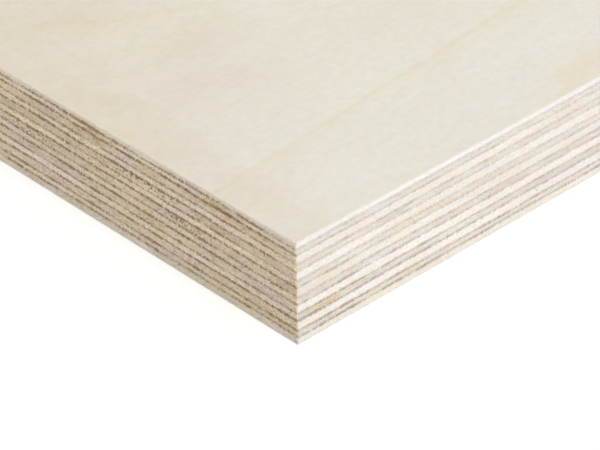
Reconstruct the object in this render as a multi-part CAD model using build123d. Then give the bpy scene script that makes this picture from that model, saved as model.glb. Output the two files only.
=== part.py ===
from build123d import *
import os

# A full sheet of birch plywood, lying flat with its better face up, in millimetres.
# The origin is the centre of the underside. +X runs along the sheet and along the
# grain of its face, +Y runs across the sheet, and +Z goes up through the veneers.

# The sheet after its four sides are sawn square
sheet_length = 2440.0
sheet_width = 1220.0

# Each kind of veneer at its thickness in the pressed sheet. The cross plies under the
# face and the back are peeled thinner, and the face loses the most to the sander.
face_thickness = 1.13
outer_cross_thickness = 1.10
inner_cross_thickness = 1.30
inner_long_thickness = 1.60
back_thickness = 1.47

# Long-grain plies inside the sheet. The cross plies around them are one more, so the
# lay-up is balanced and the grain of both outer veneers runs along the sheet.
inner_long_count = 5

# Width that sanding takes off the sharp edges of the face and the back
arris = 0.15


def core_plies():
    """The kind and thickness of each veneer inside the sheet, from the top down."""
    cross_ply = ("cross_ply", inner_cross_thickness)
    long_ply = ("long_ply", inner_long_thickness)
    outer_cross_ply = ("cross_ply", outer_cross_thickness)
    core = [cross_ply, long_ply] * inner_long_count + [cross_ply]
    core[0] = core[-1] = outer_cross_ply
    return core


def lay_up():
    """The name and thickness of every veneer, numbered from the face down."""
    stack = [("face_veneer", face_thickness)]
    for number, (kind, thickness) in enumerate(core_plies(), start=2):
        stack.append((f"{kind}_{number:02d}", thickness))
    stack.append(("back_veneer", back_thickness))
    return stack


def veneer(underside, thickness):
    """One veneer, trimmed to the sheet's outline, with its lower face at underside."""
    outline = Pos(0, 0, underside) * Rectangle(sheet_length, sheet_width)
    return extrude(outline, thickness)


def eased(outer_face):
    """The veneer that owns this face, with the sharp edges round it taken off."""
    return chamfer(outer_face.edges(), arris)


def build_sheet():
    """Every veneer in its place, the back at the bottom and the face on top."""
    sheet = {}
    height = 0.0
    for name, thickness in reversed(lay_up()):
        sheet[name] = veneer(height, thickness)
        height += thickness
    sheet["face_veneer"] = eased(sheet["face_veneer"].faces().sort_by(Axis.Z)[-1])
    sheet["back_veneer"] = eased(sheet["back_veneer"].faces().sort_by(Axis.Z)[0])
    return sheet


os.makedirs("parts", exist_ok=True)
for name, ply in build_sheet().items():
    ply.label = name
    export_step(ply, f"parts/{name}.step")
    print(name, "volume", round(ply.volume / 1e6, 3), "litres")
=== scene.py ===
import math
import bpy
import numpy as np
from mathutils import Matrix, Vector
from types import SimpleNamespace


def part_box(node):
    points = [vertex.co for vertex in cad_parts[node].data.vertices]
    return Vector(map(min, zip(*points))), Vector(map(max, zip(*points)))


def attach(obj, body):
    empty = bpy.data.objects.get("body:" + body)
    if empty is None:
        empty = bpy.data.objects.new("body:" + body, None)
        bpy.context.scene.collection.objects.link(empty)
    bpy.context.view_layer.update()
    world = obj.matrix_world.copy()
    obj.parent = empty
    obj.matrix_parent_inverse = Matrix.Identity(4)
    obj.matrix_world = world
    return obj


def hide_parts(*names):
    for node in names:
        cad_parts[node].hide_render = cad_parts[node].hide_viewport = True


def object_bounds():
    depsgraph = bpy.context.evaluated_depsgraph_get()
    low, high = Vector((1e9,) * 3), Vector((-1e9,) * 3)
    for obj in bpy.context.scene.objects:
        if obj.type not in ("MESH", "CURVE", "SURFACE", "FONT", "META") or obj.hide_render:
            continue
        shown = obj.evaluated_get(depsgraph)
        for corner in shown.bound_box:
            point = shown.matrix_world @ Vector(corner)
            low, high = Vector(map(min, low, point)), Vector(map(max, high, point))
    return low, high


# The look of a birch plywood sheet: thirteen veneers, their sawn edges, glue seams and faces.
# Blender works in metres here. Sizes of wood, cut and figure are written in millimetres.

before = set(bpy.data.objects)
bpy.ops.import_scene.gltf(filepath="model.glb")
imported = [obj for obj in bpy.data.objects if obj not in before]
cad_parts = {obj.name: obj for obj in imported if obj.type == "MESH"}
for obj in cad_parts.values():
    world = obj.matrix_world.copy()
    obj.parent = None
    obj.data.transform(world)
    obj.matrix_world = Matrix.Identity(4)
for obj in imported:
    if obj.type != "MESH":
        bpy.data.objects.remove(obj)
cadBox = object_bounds()
mm = 0.001

sheetLow, sheetHigh = cadBox
sheetLength = sheetHigh.x - sheetLow.x
sheetWidth = sheetHigh.y - sheetLow.y
sheetThickness = sheetHigh.z - sheetLow.z
nearCorner = Vector(sheetLow)  # the bottom of the corner that the photograph shows
plyNames = sorted(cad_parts, key=lambda node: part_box(node)[0].z)  # from the underside up
seamCount = len(plyNames) - 1
print("frame loaded:", len(plyNames), "veneers,", round(sheetThickness / mm, 2), "mm thick")


# Small helpers for node trees

noiseSpan = (0.27, 0.73)  # nearly all values of a noise lie between these


def put(tree, kind, inputs=None, **settings):
    node = tree.nodes.new(kind)
    for name, value in settings.items():
        setattr(node, name, value)
    for key, value in (inputs or {}).items():
        wire(tree, value, node.inputs[key])
    return node


def wire(tree, value, socket):
    if isinstance(value, bpy.types.NodeSocket):
        tree.links.new(value, socket)
    else:
        socket.default_value = value


def calc(tree, operation, a, b=0.0, c=None, clamp=False):
    inputs = {0: a, 1: b} if c is None else {0: a, 1: b, 2: c}
    return put(tree, "ShaderNodeMath", inputs, operation=operation, use_clamp=clamp).outputs[0]


def total(tree, *terms):
    result = terms[0]
    for term in terms[1:]:
        result = calc(tree, "ADD", result, term)
    return result


def product(tree, *factors):
    result = factors[0]
    for factor in factors[1:]:
        result = calc(tree, "MULTIPLY", result, factor)
    return result


def weighted(tree, *parts):
    # the sum of values, each times its own weight
    return total(tree, *[product(tree, value, weight) for value, weight in parts])


def ramp(tree, value, fromLow, fromHigh, toLow=0.0, toHigh=1.0, smooth=False):
    kind = "SMOOTHSTEP" if smooth else "LINEAR"
    ends = {"Value": value, "From Min": fromLow, "From Max": fromHigh, "To Min": toLow, "To Max": toHigh}
    return put(tree, "ShaderNodeMapRange", ends, interpolation_type=kind).outputs[0]


def between(tree, value, rises, falls, smoothFall=True):
    # 0 before the first pair of values, 1 between the pairs, 0 again after the second
    risen = ramp(tree, value, *rises, smooth=True)
    return product(tree, risen, ramp(tree, value, *falls, 1.0, 0.0, smooth=smoothFall))


def vectorCalc(tree, operation, a, b):
    return put(tree, "ShaderNodeVectorMath", {0: a, 1: b}, operation=operation).outputs[0]


def scaled(tree, vector, factor):
    return put(tree, "ShaderNodeVectorMath", {0: vector, "Scale": factor}, operation="SCALE").outputs[0]


def lengthOf(tree, vector):
    return put(tree, "ShaderNodeVectorMath", {0: vector}, operation="LENGTH").outputs["Value"]


def turned(tree, vector, angle, axis):
    inputs = {"Vector": vector, "Angle": angle}
    return put(tree, "ShaderNodeVectorRotate", inputs, rotation_type=axis + "_AXIS").outputs[0]


def split(tree, vector):
    return put(tree, "ShaderNodeSeparateXYZ", {0: vector}).outputs


def joined(tree, x, y, z):
    return put(tree, "ShaderNodeCombineXYZ", {0: x, 1: y, 2: z}).outputs[0]


def noise(tree, place, size, detail=2.0, roughness=0.5):
    # 0 to 1, with features about as long as size says along x, y and z
    spread = vectorCalc(tree, "DIVIDE", place, size)
    settings = {"Vector": spread, "Scale": 1.0, "Detail": detail, "Roughness": roughness}
    return put(tree, "ShaderNodeTexNoise", settings).outputs[0]


def swing(tree, place, size, detail=2.0, roughness=0.5):
    # the same noise, stretched to run from -1 to 1
    return ramp(tree, noise(tree, place, size, detail, roughness), *noiseSpan, -1.0, 1.0)


def patches(tree, place, levels, smooth=False, **figure):
    # the same noise again, cut off below the first level and above the second
    return ramp(tree, noise(tree, place, **figure), *levels, smooth=smooth)


def opaque(colour):
    return (*colour, 1.0)


def blended(tree, a, b, share, how="MIX"):
    node = put(tree, "ShaderNodeMix", {0: share, 6: a, 7: b}, data_type="RGBA", blend_type=how)
    return node.outputs[2]


def tinted(tree, colour, tint, share):
    return blended(tree, colour, opaque(tint), share, how="MULTIPLY")


def eitherColour(tree, pair, which):
    # the first colour where which is 0, the second where it is 1
    return blended(tree, opaque(pair[0]), opaque(pair[1]), which)


def eitherTint(tree, colour, tints, which, share=1.0):
    return blended(tree, colour, eitherColour(tree, tints, which), share, how="MULTIPLY")


def shaded(tree, colour, byColour, amount):
    # lighter or darker by amount, with a share of its own for red, green and blue
    shades = vectorCalc(tree, "ADD", scaled(tree, byColour, amount), (1.0, 1.0, 1.0))
    return vectorCalc(tree, "MULTIPLY", colour, shades)


def newGroup(name, kind, takes, gives):
    # takes and gives hold each socket's label, with its kind and its first value
    tree = bpy.data.node_groups.new(name, kind)
    for direction, sockets in (("INPUT", takes), ("OUTPUT", gives)):
        for label, (kindOfValue, value) in sockets.items():
            kindOfSocket = "NodeSocket" + kindOfValue
            socket = tree.interface.new_socket(name=label, in_out=direction, socket_type=kindOfSocket)
            if value is not None:
                socket.default_value = value
    return tree, tree.nodes.new("NodeGroupInput").outputs, tree.nodes.new("NodeGroupOutput").inputs


def masks(*labels):
    return {label: ("Float", None) for label in labels}


def placed(tree, group, inputs):
    return put(tree, "ShaderNodeGroup", inputs, node_tree=group).outputs


# Camera, at the photograph's viewing angle

cameraPlace = {
    "azimuth": -42.68,  # degrees round the sheet, 0 looks along +Y
    "elevation": 34.52,
    "roll": -1.06,
    "lensPixels": 3437.8,  # focal length in pixels of the 600 wide picture
    "distance": 487.1,  # mm from the lens to the upper near corner
    "cornerPixel": (296.22, 243.49),  # where the upper near corner lies in the picture
    "picture": (600, 450),
    "sensorWidth": 36.0,  # mm
    "clip": (0.01, 100.0),  # m, the nearest and the farthest that it sees
}


def makeCamera(place):
    azimuth, elevation, roll = (math.radians(place[key]) for key in ("azimuth", "elevation", "roll"))
    back = Vector((
        math.sin(azimuth) * math.cos(elevation),
        -math.cos(azimuth) * math.cos(elevation),
        math.sin(elevation),
    ))
    level = Vector((math.cos(azimuth), math.sin(azimuth), 0.0))
    upright = back.cross(level)
    right = level * math.cos(roll) + upright * math.sin(roll)
    up = upright * math.cos(roll) - level * math.sin(roll)
    wide, high = place["picture"]
    u, v = place["cornerPixel"]
    sight = right * (u - wide / 2) + up * (high / 2 - v) - back * place["lensPixels"]
    upperCorner = nearCorner + Vector((0, 0, sheetThickness))
    eye = upperCorner - sight.normalized() * place["distance"] * mm
    data = bpy.data.cameras.new("camera")
    data.sensor_width = place["sensorWidth"]
    data.lens = data.sensor_width * place["lensPixels"] / wide
    data.clip_start, data.clip_end = place["clip"]
    camera = bpy.data.objects.new("camera", data)
    turn = Matrix((right, up, back)).transposed().to_4x4()
    camera.matrix_world = Matrix.Translation(eye) @ turn
    bpy.context.scene.collection.objects.link(camera)
    bpy.context.scene.camera = camera


makeCamera(cameraPlace)
print("camera placed")


# Floor and light

studio = {
    "floorSize": 60.0,  # m across
    "floorColour": (0.80, 0.80, 0.80, 1.0),
    "floorGlow": 0.26,  # what the camera sees on top of the lit floor
    "skyColour": (1.0, 1.0, 1.0, 1.0),
    "skyStrength": 0.52,
    "backgroundStrength": 1.0,  # what the camera sees of the sky
    "keyStrength": 2.09,
    "keyFrom": (-0.10, -0.70, 0.70),  # towards the light
    "keySoftness": 24.0,  # degrees across
}


def seenDirectly(tree):
    # 1 for the camera, mirrors and glass, 0 for light that falls on things
    path = tree.nodes.new("ShaderNodeLightPath").outputs
    reflected = calc(tree, "MAXIMUM", path["Is Glossy Ray"], path["Is Transmission Ray"])
    return calc(tree, "MAXIMUM", path["Is Camera Ray"], reflected)


def makeFloor(setup):
    half = setup["floorSize"] / 2
    mesh = bpy.data.meshes.new("floor")
    corners = [(-half, -half, 0), (half, -half, 0), (half, half, 0), (-half, half, 0)]
    mesh.from_pydata(corners, [], [(0, 1, 2, 3)])
    material = bpy.data.materials.new("floorPaint")
    material.use_nodes = True
    tree = material.node_tree
    tree.nodes.clear()
    lit = put(tree, "ShaderNodeBsdfDiffuse", {"Color": setup["floorColour"]})
    strength = calc(tree, "MULTIPLY", seenDirectly(tree), setup["floorGlow"])
    glow = put(tree, "ShaderNodeEmission", {"Strength": strength})
    both = put(tree, "ShaderNodeAddShader", {0: lit.outputs[0], 1: glow.outputs[0]})
    put(tree, "ShaderNodeOutputMaterial", {"Surface": both.outputs[0]})
    mesh.materials.append(material)
    floor = bpy.data.objects.new("floor", mesh)
    bpy.context.scene.collection.objects.link(floor)


def makeLight(setup):
    world = bpy.data.worlds.new("studioWorld")
    world.use_nodes = True
    tree = world.node_tree
    tree.nodes.clear()
    sky, background = (
        put(tree, "ShaderNodeBackground", {"Color": setup["skyColour"], "Strength": strength}).outputs[0]
        for strength in (setup["skyStrength"], setup["backgroundStrength"])
    )
    either = put(tree, "ShaderNodeMixShader", {0: seenDirectly(tree), 1: sky, 2: background})
    put(tree, "ShaderNodeOutputWorld", {"Surface": either.outputs[0]})
    bpy.context.scene.world = world
    lamp = bpy.data.lights.new("keyLight", "SUN")
    lamp.energy = setup["keyStrength"]
    lamp.angle = math.radians(setup["keySoftness"])
    key = bpy.data.objects.new("keyLight", lamp)
    key.rotation_mode = "QUATERNION"
    key.rotation_quaternion = Vector(setup["keyFrom"]).to_track_quat("Z", "Y")
    bpy.context.scene.collection.objects.link(key)


makeFloor(studio)
makeLight(studio)
bpy.context.scene.view_settings.view_transform = "Standard"
print("floor and light made")


# Patterns that the finishes share. Each reads its place in millimetres from the near corner.
# The size of a figure is in mm along x, y and z, and its levels say where its noise is cut off.

grainFigure = {
    "fibre": {"detail": 3.0, "roughness": 0.6},
    "pores": {"detail": 1.0},
    "poreLevel": (0.78, 0.42),  # noise above which a pore shows, for a share of 0 and of 1
    "poreRim": 0.08,  # noise over which it then fades in
    "drift": {"detail": 1.0},
}


def makeBirchGrain(look):
    # fibres, pores and slow drifts of tone in wood whose grain runs along x
    takes = {
        "Place": ("Vector", None),
        "Fibre Size": ("Vector", (26.0, 0.42, 0.42)),
        "Pore Size": ("Vector", (1.9, 0.13, 0.13)),
        "Drift Size": ("Vector", (18.0, 7.0, 2.4)),
        "Pore Share": ("Float", 0.3),
    }
    tree, given, result = newGroup("birchGrain", "ShaderNodeTree", takes, masks("Fibre", "Pores", "Drift"))
    wire(tree, swing(tree, given["Place"], given["Fibre Size"], **look["fibre"]), result["Fibre"])
    least = ramp(tree, given["Pore Share"], 0.0, 1.0, *look["poreLevel"])
    dots = noise(tree, given["Place"], given["Pore Size"], **look["pores"])
    wire(tree, ramp(tree, calc(tree, "SUBTRACT", dots, least), 0.0, look["poreRim"]), result["Pores"])
    wire(tree, swing(tree, given["Place"], given["Drift Size"], **look["drift"]), result["Drift"])
    return tree


sawFigure = {
    "specks": {"size": (0.27, 0.27, 0.30), "roughness": 0.6},
    "strokes": {"size": (0.8, 0.8, 0.26), "detail": 3.0, "roughness": 0.66},
    "gaps": {"size": (0.7, 0.7, 0.2), "roughness": 0.6, "levels": (0.555, 0.70)},
    "gapsElsewhere": (71.0, 71.0, 0.0),  # shifts the gaps, so that they don't follow the specks
}


def makeSawMarks(look):
    # what the saw leaves on every edge: loose specks of fibre, short strokes and crushed gaps along the edge
    takes, gives = {"Place": ("Vector", None)}, masks("Specks", "Strokes", "Gaps")
    tree, given, result = newGroup("sawMarks", "ShaderNodeTree", takes, gives)
    wire(tree, swing(tree, given["Place"], **look["specks"]), result["Specks"])
    wire(tree, swing(tree, given["Place"], **look["strokes"]), result["Strokes"])
    elsewhere = vectorCalc(tree, "ADD", given["Place"], look["gapsElsewhere"])
    wire(tree, patches(tree, elsewhere, **look["gaps"]), result["Gaps"])
    return tree


tornFigure = {
    "checkRise": 5.0,  # mm up the veneer over which a crack wanders
    "checkLine": 0.035,  # how near to its middle level the noise shows as a crack
    "opened": {"size": (2.6, 0.9, 1.0), "detail": 1.0, "levels": (0.5, 0.6)},
    "scattered": {"size": (60.0, 11.0, 3.0), "detail": 1.0, "levels": (0.55, 0.7), "smooth": True},
    "tufts": {"size": (3.0, 0.85, 0.28), "detail": 3.0, "roughness": 0.62},
    "darkLevels": (0.52, 0.65),  # holes between the tufts
    "lightLevels": (0.48, 0.36),  # the tufts themselves
}


def makeTornEnd(look):
    # end grain: slanted cracks that the peeling knife leaves, and zones where fibres tore out
    takes = {
        "Place": ("Vector", None),
        "Zone": ("Float", 0.0),
        "Scatter": ("Float", 0.5),
        "Check Spacing": ("Float", 1.1),
        "Check Slant": ("Float", 0.8),
        "Fibre Lean": ("Float", math.radians(48.0)),
    }
    tree, given, result = newGroup("tornEnd", "ShaderNodeTree", takes, masks("Checks", "Dark", "Light"))
    y, z = split(tree, given["Place"])[1:]
    slanted = calc(tree, "MULTIPLY_ADD", z, given["Check Slant"], y)
    checkPlace = joined(tree, slanted, z, 0.0)
    spacing = joined(tree, given["Check Spacing"], look["checkRise"], 1.0)
    fromMiddle = calc(tree, "SUBTRACT", noise(tree, checkPlace, spacing, detail=0.0), 0.5)
    line = ramp(tree, calc(tree, "ABSOLUTE", fromMiddle), 0.0, look["checkLine"], 1.0, 0.0)
    opened = patches(tree, checkPlace, **look["opened"])
    wire(tree, product(tree, line, opened), result["Checks"])
    scattered = patches(tree, given["Place"], **look["scattered"])
    zone = total(tree, given["Zone"], product(tree, scattered, given["Scatter"]))
    leaning = turned(tree, given["Place"], given["Fibre Lean"], "X")
    tufts = noise(tree, leaning, **look["tufts"])
    for label, levels in (("Dark", look["darkLevels"]), ("Light", look["lightLevels"])):
        wire(tree, calc(tree, "MULTIPLY", ramp(tree, tufts, *levels), zone, clamp=True), result[label])
    return tree


glueFigure = {
    "ragged": {"size": (0.4, 0.4, 0.2), "detail": 1.0},
    "raggedBy": 0.08,  # mm that the rim of the resin frays
    "bridges": {"size": (1.0, 1.3, 0.27), "detail": 1.0},
    "bridgeLevels": (0.54, 0.66),
    "bridgeLean": 55.0,  # degrees that the fibres across a seam lean over
    "nextSeam": 37.0,  # mm in the noise from one seam's beads to the next one's
    "beads": {"detail": 4.0, "roughness": 0.86},
    "swells": {"size": (6.0, 6.0, 1.0), "detail": 1.0},
    "beadShare": 0.80,
    "swellShare": 0.46,
    "wander": {"size": (0.6, 0.6, 1.0)},
    "wanderBy": 0.07,  # mm
    "widths": (-0.9, 0.9, 0.5, 1.8),  # from thin to thick beads, and how many half widths they get
    "darkness": (-0.6, 0.6, 0.15, 1.55),  # from thin to thick beads, and how dark they are
    "core": 0.2,  # share of the half width that is resin all through
    "soak": 0.45,  # mm that the stain reaches into the wood
}


def makeGlueLines(look):
    # hardened resin along both edges of a veneer; two neighbours read the same beads in their seam
    takes = {
        "Place": ("Vector", None), "From Lower": ("Float", 1.0), "From Upper": ("Float", 1.0),
        "Lower Seam": ("Float", 0.0), "Upper Seam": ("Float", 1.0),
        "Lower Strength": ("Float", 1.0), "Upper Strength": ("Float", 1.0),
        "Half Width": ("Float", 0.18), "Bead Size": ("Float", 1.05), "Unevenness": ("Float", 1.0),
        "Bridges": ("Float", 0.8),
    }
    tree, given, result = newGroup("glueLines", "ShaderNodeTree", takes, masks("Resin", "Stain"))
    x, y, z = split(tree, given["Place"])
    ragged = swing(tree, given["Place"], **look["ragged"])
    alongEdge = joined(tree, 0.0, calc(tree, "ADD", x, y), z)
    leaning = turned(tree, alongEdge, math.radians(look["bridgeLean"]), "X")
    fibres = noise(tree, leaning, **look["bridges"])
    bridges = ramp(tree, fibres, *look["bridgeLevels"], 0.0, given["Bridges"])
    resin, stain = [], []
    for side, away in (("Lower", -1.0), ("Upper", 1.0)):
        beadPlace = joined(tree, x, y, product(tree, given[side + " Seam"], look["nextSeam"]))
        beadSize = joined(tree, given["Bead Size"], given["Bead Size"], 1.0)
        beads = swing(tree, beadPlace, beadSize, **look["beads"])
        swells = swing(tree, beadPlace, **look["swells"])
        thick = weighted(tree, (beads, look["beadShare"]), (swells, look["swellShare"]))
        thick = product(tree, thick, given["Unevenness"])
        half = product(tree, given["Half Width"], ramp(tree, thick, *look["widths"]))
        shift = product(tree, swing(tree, beadPlace, **look["wander"]), look["wanderBy"] * away)
        apart = calc(tree, "ABSOLUTE", calc(tree, "ADD", given["From " + side], shift))
        apart = calc(tree, "MULTIPLY_ADD", ragged, look["raggedBy"], apart)
        core = ramp(tree, calc(tree, "DIVIDE", apart, half), look["core"], 1.0, 1.0, 0.0)
        darkness = ramp(tree, thick, *look["darkness"])
        unbridged = calc(tree, "SUBTRACT", 1.0, bridges)
        dark = product(tree, given[side + " Strength"], darkness, unbridged)
        resin.append(calc(tree, "MULTIPLY", core, dark, clamp=True))
        soak = ramp(tree, apart, 0.0, look["soak"], 1.0, 0.0, smooth=True)
        stain.append(calc(tree, "MULTIPLY", soak, dark, clamp=True))
    wire(tree, calc(tree, "MAXIMUM", *resin), result["Resin"])
    wire(tree, calc(tree, "MAXIMUM", *stain), result["Stain"])
    return tree


patchFigure = {
    "ragged": {"size": (0.5, 0.5, 0.5)},  # in shares of the patch's reach
    "core": 0.2,  # share of the reach that is of full strength
}


def makeSoftPatch(look):
    # a stain or tone that fades out round a centre
    takes = {
        "Place": ("Vector", None),
        "Centre": ("Vector", (0.0, 0.0, 0.0)),
        "Reach": ("Vector", (1.0, 1.0, 1.0)),
        "Turn": ("Float", 0.0),
        "Raggedness": ("Float", 0.3),
    }
    tree, given, result = newGroup("softPatch", "ShaderNodeTree", takes, masks("Mask"))
    offset = vectorCalc(tree, "SUBTRACT", given["Place"], given["Centre"])
    reached = vectorCalc(tree, "DIVIDE", turned(tree, offset, given["Turn"], "Z"), given["Reach"])
    ragged = product(tree, swing(tree, reached, **look["ragged"]), given["Raggedness"])
    away = total(tree, lengthOf(tree, reached), ragged)
    wire(tree, ramp(tree, away, look["core"], 1.0, 1.0, 0.0, smooth=True), result["Mask"])
    return tree


ringFigure = {
    "broad": {"size": (820.0, 150.0, 1.0), "detail": 0.0},
    "middle": {"size": (260.0, 46.0, 1.0), "detail": 0.0},
    "fine": {"size": (38.0, 6.0, 1.0), "detail": 1.0},
    "middleShare": 0.22,
    "fineShare": 0.012,
    "faint": {"size": (110.0, 10.0, 1.0), "detail": 1.0, "levels": (0.3, 0.7, 0.35, 1.0)},
}


def makeGrowthRings(look):
    # where the peeling knife crossed the yearly rings: long loops and waves along the grain
    takes = {
        "Place": ("Vector", None), "Ring Spacing": ("Float", 120.0), "Wander": ("Float", 6.0),
        "Line Share": ("Float", 0.05), "Halo Share": ("Float", 0.35),
    }
    tree, given, result = newGroup("growthRings", "ShaderNodeTree", takes, masks("Line", "Halo", "Band"))
    y = split(tree, given["Place"])[1]
    broad, middle, fine = (noise(tree, given["Place"], **look[wave]) for wave in ("broad", "middle", "fine"))
    finer = (product(tree, middle, look["middleShare"]), product(tree, fine, look["fineShare"]))
    wander = product(tree, given["Wander"], total(tree, broad, *finer))
    phase = calc(tree, "FRACT", calc(tree, "ADD", calc(tree, "DIVIDE", y, given["Ring Spacing"]), wander))
    toEnd = calc(tree, "SUBTRACT", 1.0, phase)
    faint = patches(tree, given["Place"], **look["faint"])
    line = ramp(tree, toEnd, 0.0, given["Line Share"], 1.0, 0.0, smooth=True)
    wire(tree, product(tree, line, faint), result["Line"])
    halo = ramp(tree, toEnd, 0.0, given["Halo Share"], 1.0, 0.0)
    wire(tree, product(tree, halo, halo), result["Halo"])
    wire(tree, calc(tree, "SINE", product(tree, phase, 2 * math.pi)), result["Band"])
    return tree


birchGrain = makeBirchGrain(grainFigure)
sawMarks = makeSawMarks(sawFigure)
tornEnd = makeTornEnd(tornFigure)
glueLines = makeGlueLines(glueFigure)
softPatch = makeSoftPatch(patchFigure)
growthRings = makeGrowthRings(ringFigure)
print("wood patterns made")


# What every finish of the sheet uses

def placeInMm(tree):
    spot = put(tree, "ShaderNodeTexCoord").outputs["Object"]
    toCorner = [-c / mm for c in nearCorner]
    inputs = {"Vector": spot, "Location": toCorner, "Scale": (1 / mm, 1 / mm, 1 / mm)}
    return put(tree, "ShaderNodeMapping", inputs).outputs[0]


def newFinish(name):
    material = bpy.data.materials.new(name)
    material.use_nodes = True
    tree = material.node_tree
    return material, tree, tree.nodes["Principled BSDF"].inputs


def raiseRelief(tree, marks, depths, surface):
    # marks and depths have the same keys, and the depths are in mm, below 0 into the wood
    height = weighted(tree, *[(marks[key], depth) for key, depth in depths.items()])
    bump = put(tree, "ShaderNodeBump", {"Distance": mm, "Height": height})
    wire(tree, bump.outputs[0], surface["Normal"])


def patchMask(tree, place, patch):
    # one stain from a list: where it lies, how far it reaches and how it is turned
    inputs = {"Place": place, "Centre": patch["at"], "Reach": patch["reach"]}
    if "turn" in patch:
        inputs["Turn"] = math.radians(patch["turn"])
    if "ragged" in patch:
        inputs["Raggedness"] = patch["ragged"]
    return placed(tree, softPatch, inputs)["Mask"]


# The two broad faces

faceLook = {
    "colour": (0.800, 0.770, 0.684),
    "fibre": 0.004,  # share by which fibres lighten and darken the wood
    "fibreSize": (34.0, 0.55, 0.55),
    "drift": 0.02,
    "narrowDrift": 0.5,  # share of it that narrow bands of grain and each ring show
    "broadDrift": {"size": (420.0, 70.0, 1.0)},
    "ripple": 0.006,
    "ripples": {"size": (7.0, 55.0, 1.0), "detail": 1.0},
    "rippled": {"size": (160.0, 120.0, 1.0), "detail": 1.0, "levels": (0.42, 0.62)},
    "pores": -0.02,
    "poreShare": 0.25,
    "nap": 0.038,  # fine specks that sanding leaves
    "naps": {"size": (1.5, 1.1, 1.1), "detail": 3.0, "roughness": 0.68},
    "ringSpacing": 120.0,
    "lineTint": ((0.968, 0.955, 0.90), (0.93, 0.895, 0.81)),  # near the corner, and elsewhere on the sheet
    "haloTint": ((0.995, 0.978, 0.93), (0.985, 0.958, 0.895)),
    "warmTint": (0.99, 0.955, 0.91),
    "warm": {"size": (170.0, 34.0, 1.0), "levels": (0.35, 0.75)},
    "mottle": {"size": (3.4, 2.2, 1.0)},
    "mottleHues": (  # where its noise lies, and the two tints that it swings between
        {"at": (0.0, 0.0, 0.0), "tints": ((1.008, 0.986, 0.995), (0.99, 1.007, 0.998))},  # pink and green
        {"at": (29.0, 29.0, 0.0), "tints": ((1.0, 0.998, 0.968), (1.0, 1.002, 1.03))},  # yellow and grey
    ),
    "shadeByColour": (1.0, 1.04, 1.25),
    "roughness": 0.66,
    "fibreRoughness": 0.05,
    "poreRoughness": 0.1,
    "scratches": {"size": (90.0, 0.22, 1.0), "detail": 1.0},  # left by the sanding belt
    "relief": {"fibre": 0.004, "pores": -0.008, "scratches": 0.0016},  # mm
    "seed": 0.0,
    "handLaid": (93.5, 170.0),  # mm from the corner over which the listed figure gives way to rings
    "handLaidShape": (0.6, 1.0, 0.0),  # it reaches further along the grain
}
backLook = faceLook | {"colour": (0.76, 0.705, 0.60), "seed": 4000.0, "fibre": 0.02, "drift": 0.03}

streakLook = {
    "waver": {"size": (7.0, 4.0, 1.0), "detail": 3.0, "roughness": 0.65},
    "waverBy": 0.4,  # mm
    "lineEnds": 0.6,  # widths behind a line over which it ends
    "haloBegins": 4.5,  # widths before a line
    "haloEnds": 1.5,
    "longestFade": 12.0,  # mm over which a line fades at both ends, at most a third of the line
    "uneven": {"size": (2.6, 1.2, 1.0), "roughness": 0.6, "levels": (0.32, 0.68, 0.1, 1.6)},
}
cornerStreaks = (  # growth rings near the corner, each y = at + rise x + bend x squared
    {"from": (0.0, 17.6), "rise": 0.092, "bend": 0.0, "runs": (-10.0, 150.0), "width": 0.95, "dark": 0.85},
    {"from": (22.0, 64.8), "rise": -0.66, "bend": 0.0118, "runs": (4.0, 46.0), "width": 2.0, "dark": 0.45},
    {"from": (40.0, 18.8), "rise": 0.12, "bend": 0.0, "runs": (30.0, 58.0), "width": 0.7, "dark": 0.5},
)
cornerTones = (  # broad tones and stains near the corner
    {"at": (2.0, 78.0, 18.0), "reach": (72.0, 38.0, 9.0), "turn": 20.0, "tint": (0.94, 0.905, 0.865)},
    {"at": (0.0, 36.0, 18.0), "reach": (15.0, 60.0, 9.0), "tint": (0.96, 0.93, 0.895)},
    {"at": (16.0, 34.0, 18.0), "reach": (24.0, 26.0, 9.0), "tint": (0.985, 0.965, 0.965)},
    {"at": (18.0, 66.5, 18.0), "reach": (10.0, 4.4, 9.0), "turn": 42.0, "tint": (1.0, 0.98, 0.93)},
    {"at": (2.0, 12.0, 18.0), "reach": (17.0, 17.0, 9.0), "tint": (1.0, 0.98, 0.965)},
    {"at": (29.0, 52.0, 18.0), "reach": (16.0, 8.0, 9.0), "tint": (0.985, 0.975, 0.96)},
    {"at": (0.8, 38.5, 18.0), "reach": (3.4, 6.5, 9.0), "tint": (1.0, 0.99, 0.90)},
    {"at": (62.0, 3.0, 18.0), "reach": (14.0, 4.5, 9.0), "turn": -18.0, "tint": (1.0, 0.955, 0.885)},
    {"at": (50.0, 19.5, 18.0), "reach": (10.0, 3.0, 9.0), "turn": -50.0, "tint": (1.0, 0.975, 0.96)},
)


def streakMask(tree, place, streak, look):
    x, y = split(tree, place)[:2]
    startX, startY = streak["from"]
    width, dark = streak["width"], streak["dark"]
    start, stop = streak["runs"]
    waver = product(tree, swing(tree, place, **look["waver"]), look["waverBy"])
    offX = calc(tree, "SUBTRACT", x, startX)
    curve = product(tree, offX, calc(tree, "MULTIPLY_ADD", offX, streak["bend"], streak["rise"]))
    away = total(tree, calc(tree, "SUBTRACT", y, startY), product(tree, curve, -1.0), waver)
    line = between(tree, away, (-width, 0.0), (0.0, width * look["lineEnds"]))
    haloSpan = (-width * look["haloBegins"], 0.0), (0.0, width * look["haloEnds"])
    halo = between(tree, away, *haloSpan, smoothFall=False)
    fade = min(look["longestFade"], (stop - start) / 3)
    there = between(tree, x, (start, start + fade), (stop - fade, stop))
    uneven = patches(tree, place, **look["uneven"])
    return product(tree, line, there, uneven, dark), product(tree, halo, there, dark)


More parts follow.
